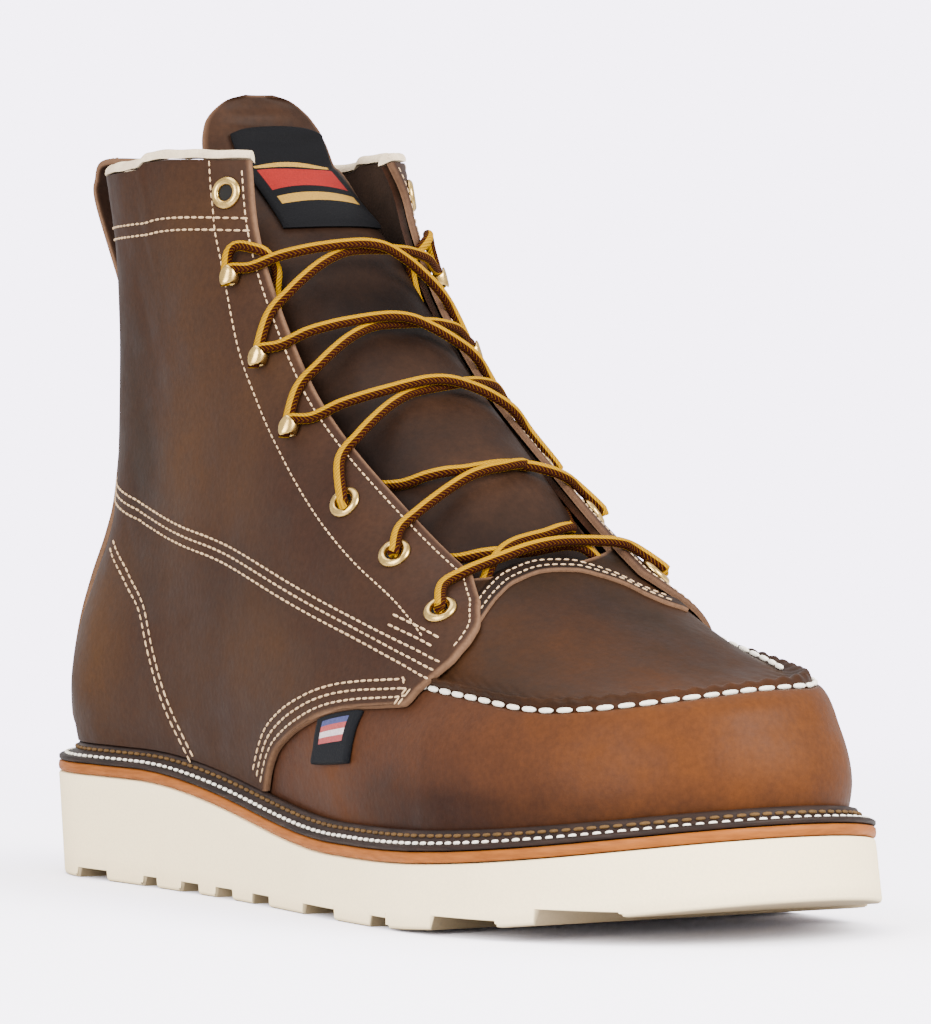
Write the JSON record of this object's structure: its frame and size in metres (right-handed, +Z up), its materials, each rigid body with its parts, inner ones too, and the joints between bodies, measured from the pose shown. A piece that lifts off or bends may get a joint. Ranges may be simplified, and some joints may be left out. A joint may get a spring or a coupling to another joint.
{
  "type": "moc toe work boot",
  "caption": "Ankle-high lace-up work boot with a moc toe seam, eyelets and speed hooks, a welted edge and a pale wedge outsole, hollow for the foot.",
  "frame": {"origin": "on the floor under the middle of the sole's length and width", "axes": "+X to the toe, +Y to the medial side (the wearer's left), +Z up"},
  "size_m": [0.305, 0.113, 0.207],
  "materials": {
    "crepe": "matte foamed rubber, cream",
    "midsole": "matte, orange tan edge",
    "welt": "dark waxed edge",
    "insole": "matte",
    "leather": "oiled pull-up leather, soft waxy sheen",
    "binding": "matte cream rim",
    "label": "woven satin",
    "brass": "polished, slightly aged",
    "lace": "braided, yellow with brown lines"
  },
  "bodies": {
    "root": {"backstay": "leather", "collar_binding": "binding", "eyelet_lateral_1": "brass", "eyelet_lateral_2": "brass", "eyelet_lateral_3": "brass", "eyelet_lateral_7": "brass", "eyelet_medial_1": "brass", "eyelet_medial_2": "brass", "eyelet_medial_3": "brass", "eyelet_medial_7": "brass", "hook_lateral_4": "brass", "hook_lateral_5": "brass", "hook_lateral_6": "brass", "hook_medial_4": "brass", "hook_medial_5": "brass", "hook_medial_6": "brass", "insole": "insole", "lace_bar": "lace", "lace_crossing_2": "lace", "lace_crossing_3": "lace", "lace_crossing_4": "lace", "lace_crossing_5": "lace", "lace_end_lateral": "lace", "lace_end_medial": "lace", "midsole": "midsole", "outsole": "crepe", "pull_loop": "leather", "quarter_lateral": "leather", "quarter_medial": "leather", "side_tab": "label", "tongue": "leather", "tongue_label": "label", "upper": "leather", "welt": "welt"}
  },
  "joints": []
}
